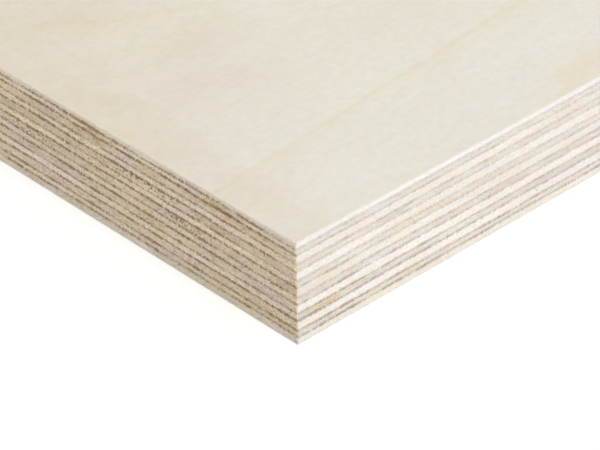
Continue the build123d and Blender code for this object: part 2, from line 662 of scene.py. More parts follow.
def ringMarks(tree, look, place, ownPlace, streaks):
    # growth rings, which give way to the listed streaks near the corner
    rings = placed(tree, growthRings, {"Place": ownPlace, "Ring Spacing": look["ringSpacing"]})
    marks = [rings[label] for label in ("Line", "Halo", "Band")]
    fromCorner = 1.0
    if streaks:
        flat = vectorCalc(tree, "MULTIPLY", place, look["handLaidShape"])
        fromCorner = ramp(tree, lengthOf(tree, flat), *look["handLaid"], smooth=True)
        marks = [product(tree, mark, fromCorner) for mark in marks]
    line, halo, band = marks
    for streak in streaks:
        streakLine, streakHalo = streakMask(tree, place, streak, streakLook)
        line = calc(tree, "MAXIMUM", line, streakLine)
        halo = calc(tree, "MAXIMUM", halo, streakHalo)
    return line, halo, band, fromCorner


def makeFaceBirch(name, look, streaks=(), tones=()):
    material, tree, surface = newFinish(name)
    place = placeInMm(tree)
    ownPlace = vectorCalc(tree, "ADD", place, (look["seed"], look["seed"], 0.0))
    inputs = {"Place": ownPlace, "Fibre Size": look["fibreSize"], "Pore Share": look["poreShare"]}
    grain = placed(tree, birchGrain, inputs)
    line, halo, band, fromCorner = ringMarks(tree, look, place, ownPlace, streaks)
    broad = swing(tree, ownPlace, **look["broadDrift"])
    warm = patches(tree, ownPlace, **look["warm"])
    ripples = swing(tree, ownPlace, **look["ripples"])
    ripples = product(tree, ripples, patches(tree, ownPlace, **look["rippled"]))
    naps = swing(tree, ownPlace, **look["naps"])
    tone = weighted(
        tree,
        (grain["Fibre"], look["fibre"]),
        (grain["Drift"], look["drift"] * look["narrowDrift"]),
        (broad, look["drift"]),
        (band, look["drift"] * look["narrowDrift"]),
        (ripples, look["ripple"]),
        (naps, look["nap"]),
        (grain["Pores"], look["pores"]),
    )
    colour = tinted(tree, opaque(look["colour"]), look["warmTint"], warm)
    for hue in look["mottleHues"]:
        mottle = swing(tree, vectorCalc(tree, "ADD", ownPlace, hue["at"]), **look["mottle"])
        for tint, full in zip(hue["tints"], (1.0, -1.0)):
            colour = tinted(tree, colour, tint, ramp(tree, mottle, 0.0, full))
    for patch in tones:
        colour = tinted(tree, colour, patch["tint"], patchMask(tree, place, patch))
    colour = eitherTint(tree, colour, look["haloTint"], fromCorner, halo)
    colour = eitherTint(tree, colour, look["lineTint"], fromCorner, line)
    wire(tree, shaded(tree, colour, look["shadeByColour"], tone), surface["Base Color"])
    rough = total(
        tree,
        look["roughness"],
        product(tree, grain["Fibre"], look["fibreRoughness"]),
        product(tree, grain["Pores"], look["poreRoughness"]),
    )
    wire(tree, rough, surface["Roughness"])
    scratches = swing(tree, place, **look["scratches"])
    marks = {"fibre": grain["Fibre"], "pores": grain["Pores"], "scratches": scratches}
    raiseRelief(tree, marks, look["relief"], surface)
    return material


gluedLook = {  # the broad faces inside the sheet, which nobody sees
    "colour": (0.45, 0.33, 0.22),
    "roughness": 0.7,
}


def makeGluedFace(look):
    material, _, surface = newFinish("gluedFace")
    surface["Base Color"].default_value = opaque(look["colour"])
    surface["Roughness"].default_value = look["roughness"]
    return material


faceBirch = makeFaceBirch("faceBirch", faceLook, cornerStreaks, cornerTones)
backBirch = makeFaceBirch("backBirch", backLook)
gluedFace = makeGluedFace(gluedLook)
print("face finishes made")


# The sawn edges

edgeLook = {  # where there are two of a value, the first is for the long edges and the second for the ends
    "sideColour": (0.805, 0.755, 0.688),  # cut along the grain
    "endColour": (0.725, 0.672, 0.602),  # cut across it
    "endShadeTint": (0.985, 0.88, 0.715),  # painted shade: both ends of the sheet darker and browner, as an end in warm shade looks
    "paleTint": (1.0, 1.03, 1.10),
    "shadeByColour": (1.0, 1.08, 1.38),  # the wood's darker fibres and pores, and the painted shade of the saw marks in the hollows between fibres, are browner than the wood
    "nextVeneer": (53.0, 31.0, 0.0),  # mm in every noise from one veneer's figure to the next one's
    "fibreSize": (26.0, 1.5, 0.3),
    "sideFibre": 0.035,
    "endFibre": 0.06,
    "sawSpecks": (0.10, 0.155),
    "sawStrokes": (0.10, 0.195),
    # painted shade in the saw's crushed gaps, with the crushed wood's own colour; far darker on an end
    "gapShadeTint": ((0.92, 0.91, 0.88), (0.61, 0.53, 0.43)),
    "drift": (0.05, 0.095),
    "pores": (-0.06, -0.12),
    "veneerHue": {"size": (16.0, 14.0, 1.6), "detail": 1.0},
    "edgeHue": {"size": (10.0, 10.0, 4.0)},
    "warmSpan": 1.2,  # sum of these two at which the yellower or bluer tint is full
    "yellower": ((1.0, 0.982, 0.922), (1.0, 0.993, 0.91)),
    "bluer": ((0.981, 0.994, 1.04), (1.0, 0.992, 1.09)),
    "rosyHue": {"size": (3.5, 3.5, 2.4)},
    "rosyElsewhere": (17.0, 17.0, 9.0),  # shifts it, so that it doesn't follow the other hues
    "pinker": ((1.018, 0.957, 0.982), (1.015, 0.964, 0.998)),
    "greener": ((0.957, 1.001, 0.993), (0.982, 1.004, 0.972)),
    "tearDepth": 1.6,  # how strongly the torn places near the corner show
    # painted shade in the holes between the torn tufts
    "tornHoleShade": (0.44, 0.34, 0.23),
    "tornLight": (1.13, 1.13, 1.11),
    "check": (0.80, 0.74, 0.64),
    "checkShare": 0.6,
    "longTearing": 0.35,  # share of the torn fibres that a long edge shows
    "resin": ((0.26, 0.20, 0.145), (0.13, 0.068, 0.004)),
    "resinCover": 0.77,
    "stain": ((0.87, 0.85, 0.82), (0.795, 0.665, 0.43)),
    "stainShare": 0.5,
    "glueHalfWidth": 0.295,
    "beading": (0.95, 1.0),  # how unevenly the resin squeezed out
    "bridges": (0.4, 0.85),  # how far fibres across a seam hide it
    "longSeams": 0.80,  # how much of the seams' darkness a long edge shows
    "seamsFromCorner": ((4.0, 52.0, 1.36, 0.84), (3.0, 10.0, 0.76, 1.0)),  # mm from and to, darkness at both
    # painted highlight at the upright corners: yellowish on a long edge, much lighter on an end
    "corner": ((1.04, 0.955, 0.82), (1.42, 1.44, 1.46)),
    "highlightReach": 0.60,  # mm that the painted highlight reaches from the corner
    "highlightFade": 0.6,  # how much of the painted highlight is left at the underside
    "roughness": 0.82,
    "fibreRoughness": 0.05,
    "resinRoughness": -0.3,
    "sawTeeth": {"size": (0.9, 0.9, 30.0), "detail": 1.0},
    "relief": {  # mm, below 0 into the wood
        "fibre": 0.02, "sawTeeth": 0.006, "specks": 0.02, "gaps": -0.02, "torn": -0.06, "checks": -0.04,
    },
}
seamStrength = (  # from the underside up: darkness on an end and on a long edge
    (0.85, 1.00), (0.90, 0.85), (1.00, 0.90), (0.90, 0.75), (1.10, 0.70), (0.80, 0.55),
    (1.05, 0.50), (0.75, 0.40), (1.10, 0.45), (0.85, 0.50), (1.20, 0.50), (0.95, 0.27),
)
plyTone = {  # tone on an end and on a long edge, share of its end grain that is torn, how pale its ends are
    "face_veneer": {"onEnd": 1.17, "onLong": 1.04, "torn": 0.2, "pale": 0.0},
    "cross_ply_02": {"onEnd": 1.03, "onLong": 1.04, "torn": 0.2, "pale": 0.8},
    "long_ply_03": {"onEnd": 1.08, "onLong": 1.02, "torn": 0.4, "pale": 0.0},
    "cross_ply_04": {"onEnd": 1.08, "onLong": 1.02, "torn": 0.3, "pale": 0.5},
    "long_ply_05": {"onEnd": 1.06, "onLong": 1.03, "torn": 0.6, "pale": 0.0},
    "cross_ply_06": {"onEnd": 1.10, "onLong": 1.01, "torn": 0.3, "pale": 0.3},
    "long_ply_07": {"onEnd": 1.07, "onLong": 1.01, "torn": 0.8, "pale": 0.1},
    "cross_ply_08": {"onEnd": 1.01, "onLong": 0.99, "torn": 0.4, "pale": 0.4},
    "long_ply_09": {"onEnd": 1.10, "onLong": 1.03, "torn": 0.5, "pale": 0.4},
    "cross_ply_10": {"onEnd": 1.11, "onLong": 0.98, "torn": 0.4, "pale": 1.0},
    "long_ply_11": {"onEnd": 1.11, "onLong": 1.02, "torn": 0.4, "pale": 0.75},
    "cross_ply_12": {"onEnd": 0.99, "onLong": 1.00, "torn": 0.3, "pale": 0.6},
    "back_veneer": {"onEnd": 1.12, "onLong": 0.96, "torn": 0.2, "pale": 0.0},
}
outerVeneers = {  # the two that are sanded; pairs are for a long edge and for an end
    "face_veneer": {
        "tint": ((1.07, 1.09, 1.125), (0.99, 1.045, 1.155)),  # sanding dust pales the wood
        "arris": ((0.745, 0.705, 0.65), (0.86, 0.778, 0.646)),
        "fadeFrom": 0.12, "fadeTo": (0.28, 0.72),  # mm from the broad face over which the arris's colour ends
        "dimmingFrom": 0.55, "dimmingTo": 0.98, "dimming": 0.84,  # darker towards the seam below the face, on a long edge
        "endCalm": 0.7,  # share of the saw marks that its end shows
    },
    "back_veneer": {
        "tint": ((1.00, 1.00, 0.98), (0.98, 1.03, 1.13)),
        "arris": ((0.73, 0.68, 0.61), (0.72, 0.66, 0.56)),
        "fadeFrom": 0.12, "fadeTo": (0.28, 0.55),
        "dimmingFrom": 0.55, "dimmingTo": 0.98, "dimming": 1.0,
        "endCalm": 0.65,
    },
}

# Stains, tears and glue near the corner, listed one by one. A place is in mm along the edge from the corner
# and up from the underside, and so is its reach.

patchDepth = {"stain": 2.0, "tear": 3.0, "resin": 2.0}  # mm into the edge
stainRaggedness = 0.6  # where a stain has none of its own
endStains = (
    {"at": (44.5, 16.1), "reach": (6.5, 1.2), "ragged": 0.9, "tint": (0.85, 0.74, 0.65)},
    {"at": (45.7, 16.82), "reach": (4.5, 0.45), "tint": (0.58, 0.52, 0.47)},
    {"at": (15.5, 15.85), "reach": (6.5, 0.45), "tint": (0.82, 0.70, 0.60)},
    {"at": (15.0, 15.6), "reach": (10.0, 1.2), "ragged": 0.9, "tint": (0.94, 0.87, 0.81)},
    {"at": (24.0, 15.85), "reach": (3.5, 0.4), "ragged": 0.8, "tint": (0.82, 0.68, 0.57)},
    {"at": (33.0, 16.3), "reach": (10.0, 0.6), "ragged": 0.5, "tint": (1.12, 1.13, 1.14)},
    {"at": (20.0, 16.3), "reach": (6.5, 0.7), "tint": (0.90, 0.89, 0.90)},
    {"at": (36.0, 12.0), "reach": (7.0, 1.2), "tint": (1.17, 1.19, 1.19)},
    {"at": (4.0, 7.7), "reach": (7.0, 0.9), "tint": (1.09, 1.10, 1.10)},
    {"at": (12.0, 6.3), "reach": (6.0, 1.1), "tint": (0.90, 0.90, 0.94)},
    {"at": (36.0, 2.0), "reach": (8.0, 0.8), "tint": (1.09, 1.09, 1.07)},
    {"at": (57.0, 16.3), "reach": (11.0, 0.7), "tint": (1.10, 1.06, 1.04)},
    {"at": (9.0, 16.7), "reach": (11.0, 0.45), "tint": (0.84, 0.81, 0.77)},
    {"at": (24.0, 13.5), "reach": (11.0, 0.9), "tint": (0.94, 0.95, 0.92)},
    {"at": (12.0, 10.6), "reach": (6.0, 0.9), "tint": (1.07, 1.08, 1.07)},
    {"at": (12.0, 9.2), "reach": (6.0, 1.1), "tint": (0.92, 0.93, 0.94)},
    {"at": (36.0, 9.2), "reach": (6.0, 1.1), "tint": (1.09, 1.10, 1.10)},
    {"at": (20.0, 7.7), "reach": (6.0, 0.9), "tint": (0.92, 0.93, 0.94)},
    {"at": (55.0, 7.7), "reach": (9.0, 0.9), "tint": (0.92, 0.92, 0.91)},
    {"at": (20.0, 4.8), "reach": (6.0, 0.9), "tint": (1.09, 1.12, 1.17)},
    {"at": (55.0, 4.8), "reach": (9.0, 0.9), "tint": (0.97, 0.98, 1.01)},
    {"at": (8.0, 2.0), "reach": (10.0, 0.8), "tint": (0.95, 0.94, 0.91)},
)
longStains = (
    {"at": (12.0, 13.5), "reach": (6.0, 0.9), "tint": (1.05, 1.06, 1.07)},
    {"at": (4.0, 7.7), "reach": (6.0, 0.9), "tint": (0.93, 0.93, 0.92)},
    {"at": (55.0, 10.6), "reach": (9.0, 0.9), "tint": (0.945, 0.94, 0.94)},
    {"at": (55.0, 4.9), "reach": (9.0, 0.9), "tint": (0.945, 0.94, 0.945)},
    {"at": (4.0, 2.0), "reach": (7.0, 0.8), "tint": (0.93, 0.935, 0.95)},
    {"at": (14.0, 3.4), "reach": (9.0, 0.9), "tint": (0.99, 1.02, 1.08)},
    {"at": (36.0, 15.0), "reach": (7.0, 0.9), "tint": (1.0, 0.985, 0.92)},
    {"at": (3.0, 4.9), "reach": (2.6, 0.7), "ragged": 1.0, "tint": (0.97, 0.93, 0.74)},
    {"at": (6.2, 4.7), "reach": (3.2, 0.7), "ragged": 0.9, "tint": (0.89, 0.74, 0.57)},
    {"at": (13.0, 4.9), "reach": (7.0, 0.7), "ragged": 0.9, "tint": (0.95, 0.94, 0.86)},
    {"at": (28.0, 4.9), "reach": (14.0, 0.9), "tint": (1.05, 1.08, 1.12)},
    {"at": (24.0, 7.7), "reach": (11.0, 0.9), "tint": (1.05, 1.05, 1.07)},
    {"at": (12.0, 10.6), "reach": (6.0, 0.9), "tint": (1.11, 1.14, 1.19)},
    {"at": (8.0, 17.4), "reach": (16.0, 1.4), "ragged": 0.4, "tint": (0.965, 0.975, 0.955)},
    {"at": (28.0, 0.7), "reach": (9.0, 1.3), "tint": (0.93, 0.925, 0.93)},
    {"at": (24.0, 4.4), "reach": (6.0, 0.5), "ragged": 1.0, "tint": (0.96, 0.86, 0.80)},
    {"at": (17.5, 13.5), "reach": (7.0, 0.9), "ragged": 0.9, "tint": (0.90, 0.85, 0.81)},
    {"at": (44.0, 7.7), "reach": (6.0, 0.9), "ragged": 0.8, "tint": (0.97, 0.91, 0.88)},
    {"at": (59.0, 7.7), "reach": (5.0, 0.9), "ragged": 0.8, "tint": (1.01, 0.98, 0.96)},
)
endTears = (
    {"at": (61.0, 9.2), "reach": (8.0, 1.3)},
    {"at": (24.5, 9.4), "reach": (8.0, 1.2)},
    {"at": (33.0, 12.5), "reach": (10.0, 1.0)},
)
endResin = {  # by seam, counted from the underside up: mm along the edge, reach, how much more glue
    12: ((4, 6, -0.45), (40, 10, -0.3)),
    11: ((36, 6, 0.35), (44, 6, -0.4)),
    10: ((4, 6, 0.35), (44, 6, -0.35)),
    9: ((12, 6, -0.5), (50, 14, 0.35)),
    8: ((4, 6, -0.35), (22, 9, 0.5)),
    7: ((36, 6, 0.4), (18, 6, 0.3)),
    6: ((9, 9, 0.5), (28, 6, 0.3), (36, 6, -0.3)),
    5: ((7, 8, -0.4), (23, 8, 0.55), (49, 14, 0.35)),
    3: ((8, 10, 0.4), (28, 6, 0.25), (44, 6, -0.3)),
    2: ((4, 6, 0.3), (28, 6, 0.35)),
    1: ((12, 6, 0.25), (20, 6, -0.45)),
}
longResin = {
    10: ((4, 7, -0.4),),
    9: ((12, 6, -0.6),),
    8: ((4, 7, -0.4),),
    7: ((4, 6, 0.45),),
    6: ((8, 11, -0.4),),
    4: ((8, 11, 0.25), (32, 11, -0.25)),
    3: ((20, 7, -0.3),),
    2: ((8, 11, 0.3), (28, 6, -0.25), (44, 6, 0.6)),
    1: ((28, 6, -0.3), (36, 6, 0.4)),
}
resinUp, resinRise = 9.0, 90.0  # mm: these places are alike from the underside to the face


def inEdge(patch, onEnd, kind):
    # the patch with its place and its reach in x, y and z from the near corner
    along, up = patch["at"]
    reach, rise = patch["reach"]
    depth = patchDepth[kind]
    if onEnd:
        return patch | {"at": (0.0, along, up), "reach": (depth, reach, rise)}
    return patch | {"at": (along, 0.0, up), "reach": (reach, depth, rise)}


def touching(patches, low, high):
    # those that reach between two heights
    for patch in patches:
        up, rise = patch["at"][1], patch["reach"][1]
        if up + rise > low and up - rise < high:
            yield patch


def readSpot(tree, node, number):
    # what each step of an edge's finish reads: where it lies and how the wood is cut there
    spot = SimpleNamespace(place=placeInMm(tree), longGrain="cross" not in node)
    spot.x, spot.y, spot.z = split(tree, spot.place)
    facing = split(tree, tree.nodes.new("ShaderNodeNewGeometry").outputs["True Normal"])
    facingX, facingY = (calc(tree, "ABSOLUTE", facing[axis]) for axis in (0, 1))
    spot.onEnd = calc(tree, "GREATER_THAN", facingX, facingY)
    if spot.longGrain:
        spot.endGrain = spot.onEnd
        grainPlace = joined(tree, spot.x, spot.y, spot.z)
    else:
        spot.endGrain = calc(tree, "SUBTRACT", 1.0, spot.onEnd)
        grainPlace = joined(tree, spot.y, spot.x, spot.z)
    spot.ownPlace = vectorCalc(tree, "ADD", grainPlace, [step * number for step in edgeLook["nextVeneer"]])
    return spot


def byEdge(tree, spot, onLong, onEnd):
    # one value on a long edge, another on an end
    return ramp(tree, spot.onEnd, 0.0, 1.0, onLong, onEnd)


def sawnColour(tree, spot, look, node, grain, saw):
    # the wood's own colour with its fibres and pores, and the marks of the saw with painted shade in their
    # hollows; both ends get painted shade that makes them darker and browner
    tone = plyTone[node]
    colour = blended(tree, opaque(look["sideColour"]), opaque(look["endColour"]), spot.endGrain)
    # painted shade: both ends darker and browner
    colour = tinted(tree, colour, look["endShadeTint"], spot.onEnd)
    colour = tinted(tree, colour, look["paleTint"], product(tree, spot.onEnd, tone["pale"]))
    colour = scaled(tree, colour, byEdge(tree, spot, tone["onLong"], tone["onEnd"]))
    endCalm = outerVeneers[node]["endCalm"] if node in outerVeneers else 1.0
    specksLong, specksEnd = look["sawSpecks"]
    strokesLong, strokesEnd = look["sawStrokes"]
    # fibres, pores and drift are the wood's own tone; the saw's specks and strokes add painted shade in the
    # hollows between fibres
    toneAndHollowShade = weighted(
        tree,
        (grain["Fibre"], ramp(tree, spot.endGrain, 0.0, 1.0, look["sideFibre"], look["endFibre"])),
        (saw["Specks"], byEdge(tree, spot, specksLong, specksEnd * endCalm)),
        (saw["Strokes"], byEdge(tree, spot, strokesLong, strokesEnd * endCalm)),
        (grain["Drift"], byEdge(tree, spot, *look["drift"])),
        (product(tree, grain["Pores"], spot.endGrain), byEdge(tree, spot, *look["pores"])),
    )
    return shaded(tree, colour, look["shadeByColour"], toneAndHollowShade)


def addHues(tree, spot, look, colour):
    # slow changes of hue, from yellower to bluer and from pinker to greener
    veneerHue = swing(tree, spot.ownPlace, **look["veneerHue"])
    warm = total(tree, veneerHue, swing(tree, spot.place, **look["edgeHue"]))
    rosy = swing(tree, vectorCalc(tree, "ADD", spot.place, look["rosyElsewhere"]), **look["rosyHue"])
    for tints, hue, full in (
        ("yellower", warm, look["warmSpan"]),
        ("bluer", warm, -look["warmSpan"]),
        ("pinker", rosy, 1.0),
        ("greener", rosy, -1.0),
    ):
        colour = eitherTint(tree, colour, look[tints], spot.onEnd, ramp(tree, hue, 0.0, full))
    return colour


def addTears(tree, spot, look, node, low, high, colour):
    # cracks and torn fibres in the end grain, with painted shade in the holes between the tufts; their masks
    # are returned for the relief
    zone = 0.0
    for patch in touching(endTears, low, high) if spot.longGrain else ():
        mask = patchMask(tree, spot.place, inEdge(patch, True, "tear"))
        zone = calc(tree, "MULTIPLY_ADD", mask, look["tearDepth"], zone)
    inputs = {"Place": spot.ownPlace, "Zone": zone, "Scatter": plyTone[node]["torn"]}
    torn = placed(tree, tornEnd, inputs)
    tearing = product(tree, spot.endGrain, byEdge(tree, spot, look["longTearing"], 1.0))
    checks, dark, light = (product(tree, torn[label], tearing) for label in ("Checks", "Dark", "Light"))
    colour = tinted(tree, colour, look["check"], product(tree, checks, look["checkShare"]))
    colour = tinted(tree, colour, look["tornLight"], light)
    # painted shade in the holes between the tufts
    colour = tinted(tree, colour, look["tornHoleShade"], dark)
    return colour, checks, dark


def addStains(tree, spot, low, high, colour):
    for stains, onEnd in ((endStains, True), (longStains, False)):
        for stain in touching(stains, low, high):
            patch = {"ragged": stainRaggedness} | inEdge(stain, onEnd, "stain")
            colour = tinted(tree, colour, stain["tint"], patchMask(tree, spot.place, patch))
    return colour


def seamDarkness(tree, spot, look, seam):
    # by the seam's own strength, the distance to the corner and the places with more or less glue
    if seam in (0, seamCount + 1):
        onEnd, onLong = 0.0, 0.0  # the two broad faces have no seam
    else:
        onEnd, onLong = seamStrength[seam - 1]
    strength = byEdge(tree, spot, look["longSeams"] * onLong, onEnd)
    amount = spot.fromCorner
    for places, inEnd in ((endResin, True), (longResin, False)):
        for along, reach, more in places.get(seam, ()):
            patch = inEdge({"at": (along, resinUp), "reach": (reach, resinRise)}, inEnd, "resin")
            amount = calc(tree, "MULTIPLY_ADD", patchMask(tree, spot.place, patch), more, amount)
    return product(tree, strength, amount)


def placeSeams(tree, spot, look, number, thickness):
    # resin and its stain at both seams of a veneer, and how far each spot lies from the two
    across = put(tree, "ShaderNodeAttribute", None, attribute_name="across").outputs["Fac"]
    fromLower = product(tree, across, thickness)
    fromUpper = ramp(tree, across, 0.0, 1.0, thickness, 0.0)
    trends = [ramp(tree, along, *trend) for along, trend in zip((spot.x, spot.y), look["seamsFromCorner"])]
    spot.fromCorner = byEdge(tree, spot, *trends)
    inputs = {
        "Place": spot.place,
        "From Lower": fromLower,
        "From Upper": fromUpper,
        "Lower Seam": float(number),
        "Upper Seam": number + 1.0,
        "Lower Strength": seamDarkness(tree, spot, look, number),
        "Upper Strength": seamDarkness(tree, spot, look, number + 1),
        "Half Width": look["glueHalfWidth"],
        "Bridges": byEdge(tree, spot, *look["bridges"]),
        "Unevenness": byEdge(tree, spot, *look["beading"]),
    }
    return placed(tree, glueLines, inputs), fromLower, fromUpper


def addSeams(tree, spot, look, seams, colour):
    stained = product(tree, seams["Stain"], look["stainShare"])
    colour = eitherTint(tree, colour, look["stain"], spot.onEnd, stained)
    resin = eitherColour(tree, look["resin"], spot.onEnd)
    return blended(tree, colour, resin, product(tree, seams["Resin"], look["resinCover"]))


def toNearerEnd(tree, distance, size):
    # from the distance to one end of a side, how far the nearer of its two ends is
    fromMiddle = calc(tree, "ABSOLUTE", calc(tree, "SUBTRACT", distance, size / 2))
    return calc(tree, "SUBTRACT", size / 2, fromMiddle)


def addCornerHighlights(tree, spot, look, colour):
    # painted highlight along the sheet's upright corners, fading towards the underside
    fromX = toNearerEnd(tree, spot.x, sheetLength / mm)
    fromY = toNearerEnd(tree, spot.y, sheetWidth / mm)
    apart = calc(tree, "MAXIMUM", fromX, fromY)
    cornerHighlight = ramp(tree, apart, 0.0, look["highlightReach"], 1.0, 0.0, smooth=True)
    cornerHighlight = product(tree, cornerHighlight, ramp(tree, spot.z, 0.0, sheetThickness / mm, look["highlightFade"], 1.0))
    return eitherTint(tree, colour, look["corner"], spot.onEnd, cornerHighlight)


def addSanding(tree, spot, outer, depth, colour):
    # darker towards the seam below a broad face on a long edge, and the arris that the sander rounds, by the
    # depth below that face
    dimming = ramp(tree, depth, outer["dimmingFrom"], outer["dimmingTo"], 1.0, outer["dimming"], smooth=True)
    colour = scaled(tree, colour, calc(tree, "MAXIMUM", dimming, spot.onEnd))
    fadeTo = byEdge(tree, spot, *outer["fadeTo"])
    sanded = ramp(tree, depth, outer["fadeFrom"], fadeTo, 1.0, 0.0, smooth=True)
    return blended(tree, colour, eitherColour(tree, outer["arris"], spot.onEnd), sanded)


def makeEdgeWood(node, number, low, high, look=edgeLook):
    # the sawn edge of one veneer, which shows end grain on one pair of sides and side grain on the other
    material, tree, surface = newFinish(node + "Edge")
    spot = readSpot(tree, node, number)
    outer = outerVeneers.get(node)
    grain = placed(tree, birchGrain, {"Place": spot.ownPlace, "Fibre Size": look["fibreSize"]})
    saw = placed(tree, sawMarks, {"Place": spot.place})
    colour = sawnColour(tree, spot, look, node, grain, saw)
    if outer:
        colour = eitherTint(tree, colour, outer["tint"], spot.onEnd)
    colour = addHues(tree, spot, look, colour)
    # painted shade in the crushed gaps
    colour = eitherTint(tree, colour, look["gapShadeTint"], spot.onEnd, saw["Gaps"])
    colour, checks, torn = addTears(tree, spot, look, node, low, high, colour)
    colour = addStains(tree, spot, low, high, colour)
    seams, fromLower, fromUpper = placeSeams(tree, spot, look, number, high - low)
    colour = addSeams(tree, spot, look, seams, colour)
    colour = addCornerHighlights(tree, spot, look, colour)
    if outer:
        colour = addSanding(tree, spot, outer, fromUpper if number else fromLower, colour)
    wire(tree, colour, surface["Base Color"])
    rough = total(
        tree,
        look["roughness"],
        product(tree, grain["Fibre"], look["fibreRoughness"]),
        product(tree, seams["Resin"], look["resinRoughness"]),
    )
    wire(tree, rough, surface["Roughness"])
    marks = {
        "fibre": grain["Fibre"],
        "sawTeeth": swing(tree, spot.place, **look["sawTeeth"]),
        "specks": saw["Specks"],
        "gaps": saw["Gaps"],
        "torn": torn,
        "checks": checks,
    }
    raiseRelief(tree, marks, look["relief"], surface)
    return material


# The shape of one veneer: a thin slab whose sawn edge has a groove at each glue seam

veneerCut = {
    "longColumns": 1600,  # steps along a long side
    "endColumns": 1000,  # steps along an end
    "cornerFineness": 0.9,  # 0 spaces the steps evenly, towards 1 they crowd at the corners
    "middleLift": 0.165,  # mm that the press leaves the middle seams above their even place
    "seamWave": 0.18,  # mm that a glue seam wanders up and down on an end
    "longCalm": 0.8,  # share of that on a long edge, which follows the grain
    "seamGroove": 0.05,  # mm that the saw leaves a seam behind the wood
    "seamLip": 0.14,  # mm of wood that leans into the groove
    "endTear": 0.06,  # mm that torn fibres leave on a cross-cut end
    "longTear": 0.03,  # mm on a long edge
    "arris": 0.15,  # mm taken off the sharp edges of the two faces
}
cutFigure = {
    "nextSeam": 0.1,  # m in the noise from one seam's line to the next one's
    "slowWave": {"size": (13.0, 13.0, 1.0), "detail": 1.0},
    "quickWave": {"size": (1.2, 1.2, 1.0)},
    "slowShare": 0.8,
    "quickShare": 0.2,
    "calmBy": 6.0,  # mm from an end by which the waves have calmed down to a long edge's
    "grooves": {"size": (0.9, 0.9, 1.0), "detail": 1.0},
    "grooveLevels": (0.25, 0.75),
    "grooveShares": (0.3, 1.7),  # of its depth, where the noise is low and where it is high
    "evenTo": 0.3,  # mm from a corner to which the groove is of one depth, so that the rim can't fold there
    "unevenFrom": 0.6,  # mm from a corner from which it is as uneven as elsewhere
    "tears": {"size": (0.5, 0.5, 1.0), "levels": (0.3, 0.7)},
    "nextRow": 2.0,  # steps between the rows of torn fibres, where a seam is one step from the next
    "sideWeld": 0.01,  # mm within which the last points of two sides become one
    "faceWeld": 0.02,  # mm within which a broad face joins its rim
}
edgeRows = 5  # rows of points on an edge: seam, lip, middle, lip, seam
rowStep = 1 / (edgeRows - 1)
rowSlack = 0.01  # how near to a row's number its value lies
levelNormal = 0.95  # a face whose normal stands up or down by more is a broad one


def position(tree):
    return tree.nodes.new("GeometryNodeInputPosition").outputs[0]


def moved(tree, geometry, place):
    return put(tree, "GeometryNodeSetPosition", {"Geometry": geometry, "Position": place}).outputs[0]


def stored(tree, geometry, name, value):
    inputs = {"Geometry": geometry, "Name": name, "Value": value}
    return put(tree, "GeometryNodeStoreNamedAttribute", inputs, data_type="FLOAT", domain="POINT").outputs[0]


def named(tree, name):
    return put(tree, "GeometryNodeInputNamedAttribute", {"Name": name}, data_type="FLOAT").outputs[0]


def painted(tree, geometry, material, selection=True):
    inputs = {"Geometry": geometry, "Selection": selection, "Material": material}
    return put(tree, "GeometryNodeSetMaterial", inputs).outputs[0]


def welded(tree, pieces, distance):
    join = tree.nodes.new("GeometryNodeJoinGeometry")
    for piece in pieces:
        tree.links.new(piece, join.inputs[0])
    inputs = {"Geometry": join.outputs[0], "Distance": distance * mm}
    return put(tree, "GeometryNodeMergeByDistance", inputs).outputs[0]


def sideStrips(tree, given, halfLength, halfWidth):
    # one strip of rows for each side, its columns crowded towards the corners
    strips = []
    for columns, size, onEnd in (
        (given["Long Columns"], given["Length"], False),
        (given["End Columns"], given["Width"], True),
    ):
        counted = put(tree, "FunctionNodeIntegerMath", {0: columns, 1: 1}, operation="ADD").outputs[0]
        sizes = {"Size X": 1.0, "Size Y": 1.0, "Vertices X": counted, "Vertices Y": edgeRows}
        grid = put(tree, "GeometryNodeMeshGrid", sizes).outputs["Mesh"]
        x, y = split(tree, position(tree))[:2]
        even = calc(tree, "ADD", x, 0.5)
        row = calc(tree, "ADD", y, 0.5)
        crowd = calc(tree, "SINE", product(tree, even, 2 * math.pi))
        pulled = product(tree, crowd, given["Corner Fineness"], -0.5 / math.pi)
        along = product(tree, calc(tree, "ADD", x, pulled), size)
        if onEnd:
            place = joined(tree, product(tree, halfLength, -1.0), product(tree, along, -1.0), row)
        else:
            place = joined(tree, along, product(tree, halfWidth, -1.0), row)
        side = moved(tree, grid, place)
        opposite = moved(tree, side, vectorCalc(tree, "MULTIPLY", position(tree), (-1.0, -1.0, 1.0)))
        strips += [side, opposite]
    return strips


def storeRows(tree, given, ring):
    # keeps each row's number, 0 to 1, and across, its share of the thickness
    row = split(tree, position(tree))[2]
    half = product(tree, given["Thickness"], 0.5)
    rises = (
        given["Lower Lip"],
        calc(tree, "SUBTRACT", half, given["Lower Lip"]),
        calc(tree, "SUBTRACT", half, given["Upper Lip"]),
        given["Upper Lip"],
    )
    climbs = [ramp(tree, row, step * rowStep, (step + 1) * rowStep) for step in range(len(rises))]
    share = calc(tree, "DIVIDE", weighted(tree, *zip(climbs, rises)), given["Thickness"])
    for name, value in (("across", share), ("row", row)):
        ring = stored(tree, ring, name, value)
    return ring


def seamPlace(tree, spot, seam):
    # the place in mm where a seam reads its noise, the same for the veneers on both sides of it
    level = product(tree, seam, cutFigure["nextSeam"])
    return scaled(tree, joined(tree, spot.x, spot.y, level), 1 / mm)


def seamHeight(tree, spot, seam, wave, level):
    slow = swing(tree, seamPlace(tree, spot, seam), **cutFigure["slowWave"])
    quick = swing(tree, seamPlace(tree, spot, seam), **cutFigure["quickWave"])
    mixed = weighted(tree, (slow, cutFigure["slowShare"]), (quick, cutFigure["quickShare"]))
    return calc(tree, "MULTIPLY_ADD", product(tree, mixed, spot.calmer), wave, level)


